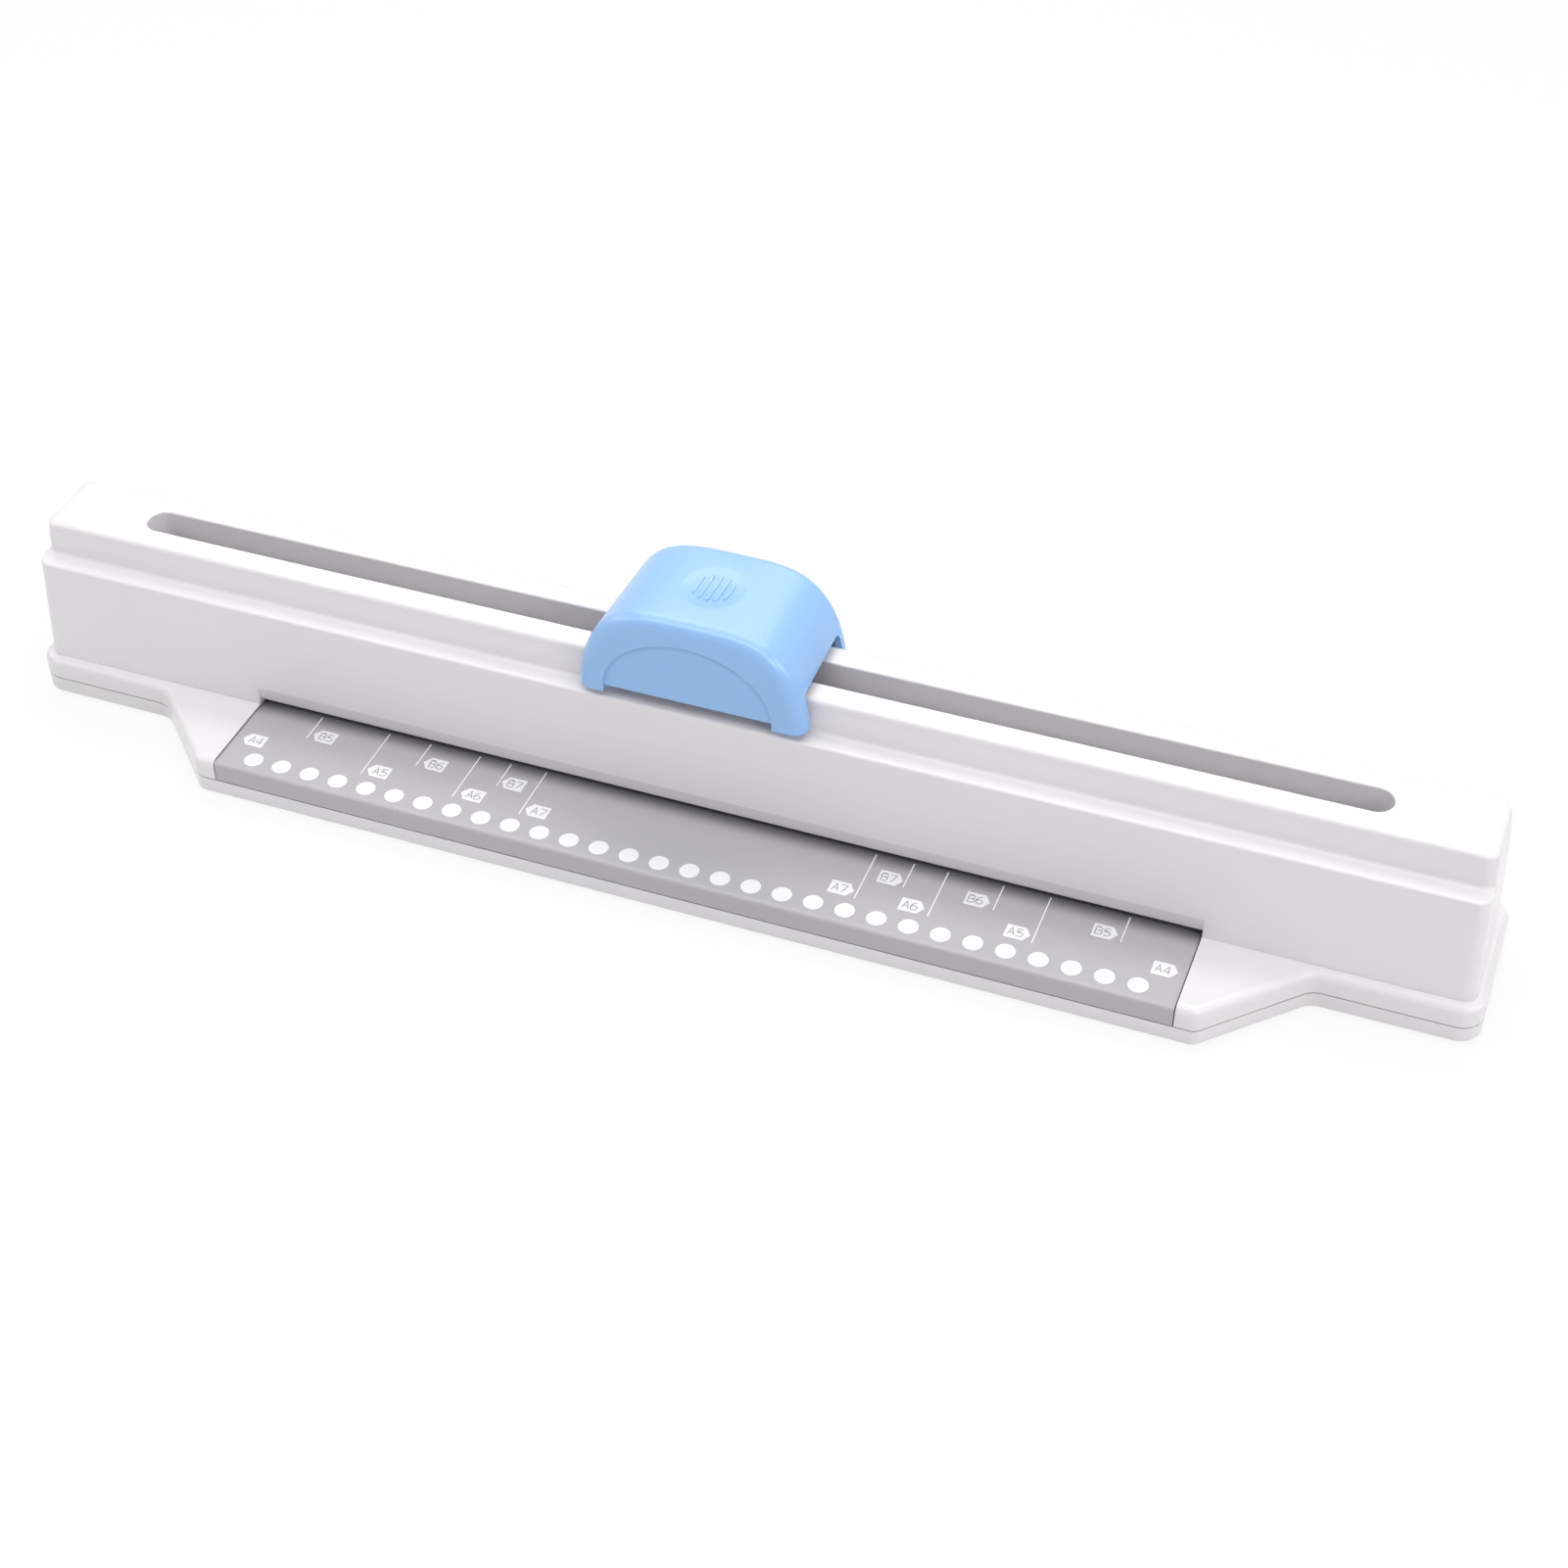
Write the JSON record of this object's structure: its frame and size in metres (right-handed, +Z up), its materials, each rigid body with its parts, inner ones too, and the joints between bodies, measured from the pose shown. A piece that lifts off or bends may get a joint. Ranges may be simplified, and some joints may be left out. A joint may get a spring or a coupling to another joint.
{
  "type": "multi-hole paper punch",
  "caption": "Long desk paper punch: a press cap slides along a white housing over a row of pins, above a grey paper table with format marks and a chip tray.",
  "frame": {"origin": "middle of the base's plan, on the desk under the rubber feet", "axes": "+X along the body to the right as seen from the paper side, +Y towards the back, +Z up"},
  "size_m": [0.4564, 0.0746, 0.0815],
  "materials": {
    "white_shell": "satin moulded shell",
    "grey_table": "satin grey paint with white printed marks",
    "blue_cap": "satin light blue",
    "dark_nylon": "plain moulded",
    "plain_steel": "zinc plated",
    "black_rubber": "matt"
  },
  "bodies": {
    "frame": {"top_housing": "white_shell", "base_frame": "white_shell", "paper_table": "grey_table", "guide_rods": "plain_steel", "end_brackets": "plain_steel", "bracket_screws": "plain_steel", "rail_bumpers": "black_rubber", "die_plate": "plain_steel", "spacer_frame": "plain_steel", "guide_channel": "plain_steel", "unit_screws": "plain_steel", "pin_springs": "plain_steel", "housing_screws": "plain_steel", "table_screws": "plain_steel"},
    "carriage": {"slide_carriage": "dark_nylon", "handle_springs": "plain_steel"},
    "handle": {"slider_cap": "blue_cap", "presser_bar": "dark_nylon", "guide_posts": "plain_steel", "cross_pins": "plain_steel"},
    "tray": {"chip_tray": "white_shell", "rubber_feet": "black_rubber"},
    "pin_01": {"punch_pin_01": "plain_steel"},
    "pin_02": {"punch_pin_02": "plain_steel"},
    "pin_03": {"punch_pin_03": "plain_steel"},
    "pin_04": {"punch_pin_04": "plain_steel"},
    "pin_05": {"punch_pin_05": "plain_steel"},
    "pin_06": {"punch_pin_06": "plain_steel"},
    "pin_07": {"punch_pin_07": "plain_steel"},
    "pin_08": {"punch_pin_08": "plain_steel"},
    "pin_09": {"punch_pin_09": "plain_steel"},
    "pin_10": {"punch_pin_10": "plain_steel"},
    "pin_11": {"punch_pin_11": "plain_steel"},
    "pin_12": {"punch_pin_12": "plain_steel"},
    "pin_13": {"punch_pin_13": "plain_steel"},
    "pin_14": {"punch_pin_14": "plain_steel"},
    "pin_15": {"punch_pin_15": "plain_steel"},
    "pin_16": {"punch_pin_16": "plain_steel"},
    "pin_17": {"punch_pin_17": "plain_steel"},
    "pin_18": {"punch_pin_18": "plain_steel"},
    "pin_19": {"punch_pin_19": "plain_steel"},
    "pin_20": {"punch_pin_20": "plain_steel"},
    "pin_21": {"punch_pin_21": "plain_steel"},
    "pin_22": {"punch_pin_22": "plain_steel"},
    "pin_23": {"punch_pin_23": "plain_steel"},
    "pin_24": {"punch_pin_24": "plain_steel"},
    "pin_25": {"punch_pin_25": "plain_steel"},
    "pin_26": {"punch_pin_26": "plain_steel"},
    "pin_27": {"punch_pin_27": "plain_steel"},
    "pin_28": {"punch_pin_28": "plain_steel"},
    "pin_29": {"punch_pin_29": "plain_steel"},
    "pin_30": {"punch_pin_30": "plain_steel"}
  },
  "joints": [
    {"name": "slider_slide", "type": "slide", "parent": "frame", "child": "carriage", "axis": [1, 0, 0], "range_m": [-0.1612, 0.1702]},
    {"name": "handle_press", "type": "slide", "parent": "carriage", "child": "handle", "axis": [0, 0, 1], "range_m": [-0.0027, 0], "stiffness_N_per_m": 2000, "springref_m": 0.002, "deforming": ["handle_springs", "pin_springs"]},
    {"name": "tray_release", "type": "slide", "parent": "frame", "child": "tray", "axis": [0, 0, 1], "range_m": [-0.025, 0]},
    {"name": "pin_01_stroke", "type": "slide", "parent": "frame", "child": "pin_01", "axis": [0, 0, 1], "range_m": [-0.0026, 0], "stiffness_N_per_m": 400, "springref_m": 0.002, "deforming": ["pin_springs"]},
    {"name": "pin_02_stroke", "type": "slide", "parent": "frame", "child": "pin_02", "axis": [0, 0, 1], "range_m": [-0.0026, 0], "stiffness_N_per_m": 400, "springref_m": 0.002, "deforming": ["pin_springs"]},
    {"name": "pin_03_stroke", "type": "slide", "parent": "frame", "child": "pin_03", "axis": [0, 0, 1], "range_m": [-0.0026, 0], "stiffness_N_per_m": 400, "springref_m": 0.002, "deforming": ["pin_springs"]},
    {"name": "pin_04_stroke", "type": "slide", "parent": "frame", "child": "pin_04", "axis": [0, 0, 1], "range_m": [-0.0026, 0], "stiffness_N_per_m": 400, "springref_m": 0.002, "deforming": ["pin_springs"]},
    {"name": "pin_05_stroke", "type": "slide", "parent": "frame", "child": "pin_05", "axis": [0, 0, 1], "range_m": [-0.0026, 0], "stiffness_N_per_m": 400, "springref_m": 0.002, "deforming": ["pin_springs"]},
    {"name": "pin_06_stroke", "type": "slide", "parent": "frame", "child": "pin_06", "axis": [0, 0, 1], "range_m": [-0.0026, 0], "stiffness_N_per_m": 400, "springref_m": 0.002, "deforming": ["pin_springs"]},
    {"name": "pin_07_stroke", "type": "slide", "parent": "frame", "child": "pin_07", "axis": [0, 0, 1], "range_m": [-0.0026, 0], "stiffness_N_per_m": 400, "springref_m": 0.002, "deforming": ["pin_springs"]},
    {"name": "pin_08_stroke", "type": "slide", "parent": "frame", "child": "pin_08", "axis": [0, 0, 1], "range_m": [-0.0026, 0], "stiffness_N_per_m": 400, "springref_m": 0.002, "deforming": ["pin_springs"]},
    {"name": "pin_09_stroke", "type": "slide", "parent": "frame", "child": "pin_09", "axis": [0, 0, 1], "range_m": [-0.0026, 0], "stiffness_N_per_m": 400, "springref_m": 0.002, "deforming": ["pin_springs"]},
    {"name": "pin_10_stroke", "type": "slide", "parent": "frame", "child": "pin_10", "axis": [0, 0, 1], "range_m": [-0.0026, 0], "stiffness_N_per_m": 400, "springref_m": 0.002, "deforming": ["pin_springs"]},
    {"name": "pin_11_stroke", "type": "slide", "parent": "frame", "child": "pin_11", "axis": [0, 0, 1], "range_m": [-0.0026, 0], "stiffness_N_per_m": 400, "springref_m": 0.002, "deforming": ["pin_springs"]},
    {"name": "pin_12_stroke", "type": "slide", "parent": "frame", "child": "pin_12", "axis": [0, 0, 1], "range_m": [-0.0026, 0], "stiffness_N_per_m": 400, "springref_m": 0.002, "deforming": ["pin_springs"]},
    {"name": "pin_13_stroke", "type": "slide", "parent": "frame", "child": "pin_13", "axis": [0, 0, 1], "range_m": [-0.0026, 0], "stiffness_N_per_m": 400, "springref_m": 0.002, "deforming": ["pin_springs"]},
    {"name": "pin_14_stroke", "type": "slide", "parent": "frame", "child": "pin_14", "axis": [0, 0, 1], "range_m": [-0.0026, 0], "stiffness_N_per_m": 400, "springref_m": 0.002, "deforming": ["pin_springs"]},
    {"name": "pin_15_stroke", "type": "slide", "parent": "frame", "child": "pin_15", "axis": [0, 0, 1], "range_m": [-0.0026, 0], "stiffness_N_per_m": 400, "springref_m": 0.002, "deforming": ["pin_springs"]},
    {"name": "pin_16_stroke", "type": "slide", "parent": "frame", "child": "pin_16", "axis": [0, 0, 1], "range_m": [-0.0026, 0], "stiffness_N_per_m": 400, "springref_m": 0.002, "deforming": ["pin_springs"]},
    {"name": "pin_17_stroke", "type": "slide", "parent": "frame", "child": "pin_17", "axis": [0, 0, 1], "range_m": [-0.0026, 0], "stiffness_N_per_m": 400, "springref_m": 0.002, "deforming": ["pin_springs"]},
    {"name": "pin_18_stroke", "type": "slide", "parent": "frame", "child": "pin_18", "axis": [0, 0, 1], "range_m": [-0.0026, 0], "stiffness_N_per_m": 400, "springref_m": 0.002, "deforming": ["pin_springs"]},
    {"name": "pin_19_stroke", "type": "slide", "parent": "frame", "child": "pin_19", "axis": [0, 0, 1], "range_m": [-0.0026, 0], "stiffness_N_per_m": 400, "springref_m": 0.002, "deforming": ["pin_springs"]},
    {"name": "pin_20_stroke", "type": "slide", "parent": "frame", "child": "pin_20", "axis": [0, 0, 1], "range_m": [-0.0026, 0], "stiffness_N_per_m": 400, "springref_m": 0.002, "deforming": ["pin_springs"]},
    {"name": "pin_21_stroke", "type": "slide", "parent": "frame", "child": "pin_21", "axis": [0, 0, 1], "range_m": [-0.0026, 0], "stiffness_N_per_m": 400, "springref_m": 0.002, "deforming": ["pin_springs"]},
    {"name": "pin_22_stroke", "type": "slide", "parent": "frame", "child": "pin_22", "axis": [0, 0, 1], "range_m": [-0.0026, 0], "stiffness_N_per_m": 400, "springref_m": 0.002, "deforming": ["pin_springs"]},
    {"name": "pin_23_stroke", "type": "slide", "parent": "frame", "child": "pin_23", "axis": [0, 0, 1], "range_m": [-0.0026, 0], "stiffness_N_per_m": 400, "springref_m": 0.002, "deforming": ["pin_springs"]},
    {"name": "pin_24_stroke", "type": "slide", "parent": "frame", "child": "pin_24", "axis": [0, 0, 1], "range_m": [-0.0026, 0], "stiffness_N_per_m": 400, "springref_m": 0.002, "deforming": ["pin_springs"]},
    {"name": "pin_25_stroke", "type": "slide", "parent": "frame", "child": "pin_25", "axis": [0, 0, 1], "range_m": [-0.0026, 0], "stiffness_N_per_m": 400, "springref_m": 0.002, "deforming": ["pin_springs"]},
    {"name": "pin_26_stroke", "type": "slide", "parent": "frame", "child": "pin_26", "axis": [0, 0, 1], "range_m": [-0.0026, 0], "stiffness_N_per_m": 400, "springref_m": 0.002, "deforming": ["pin_springs"]},
    {"name": "pin_27_stroke", "type": "slide", "parent": "frame", "child": "pin_27", "axis": [0, 0, 1], "range_m": [-0.0026, 0], "stiffness_N_per_m": 400, "springref_m": 0.002, "deforming": ["pin_springs"]},
    {"name": "pin_28_stroke", "type": "slide", "parent": "frame", "child": "pin_28", "axis": [0, 0, 1], "range_m": [-0.0026, 0], "stiffness_N_per_m": 400, "springref_m": 0.002, "deforming": ["pin_springs"]},
    {"name": "pin_29_stroke", "type": "slide", "parent": "frame", "child": "pin_29", "axis": [0, 0, 1], "range_m": [-0.0026, 0], "stiffness_N_per_m": 400, "springref_m": 0.002, "deforming": ["pin_springs"]},
    {"name": "pin_30_stroke", "type": "slide", "parent": "frame", "child": "pin_30", "axis": [0, 0, 1], "range_m": [-0.0026, 0], "stiffness_N_per_m": 400, "springref_m": 0.002, "deforming": ["pin_springs"]}
  ],
  "couplings": [
    {"joint": "pin_13_stroke", "follows": "handle_press", "ratio": 0.9},
    {"joint": "pin_14_stroke", "follows": "handle_press", "ratio": 0.9},
    {"joint": "pin_15_stroke", "follows": "handle_press", "ratio": 0.9},
    {"joint": "pin_16_stroke", "follows": "handle_press", "ratio": 0.9},
    {"joint": "pin_17_stroke", "follows": "handle_press", "ratio": 0.9}
  ]
}
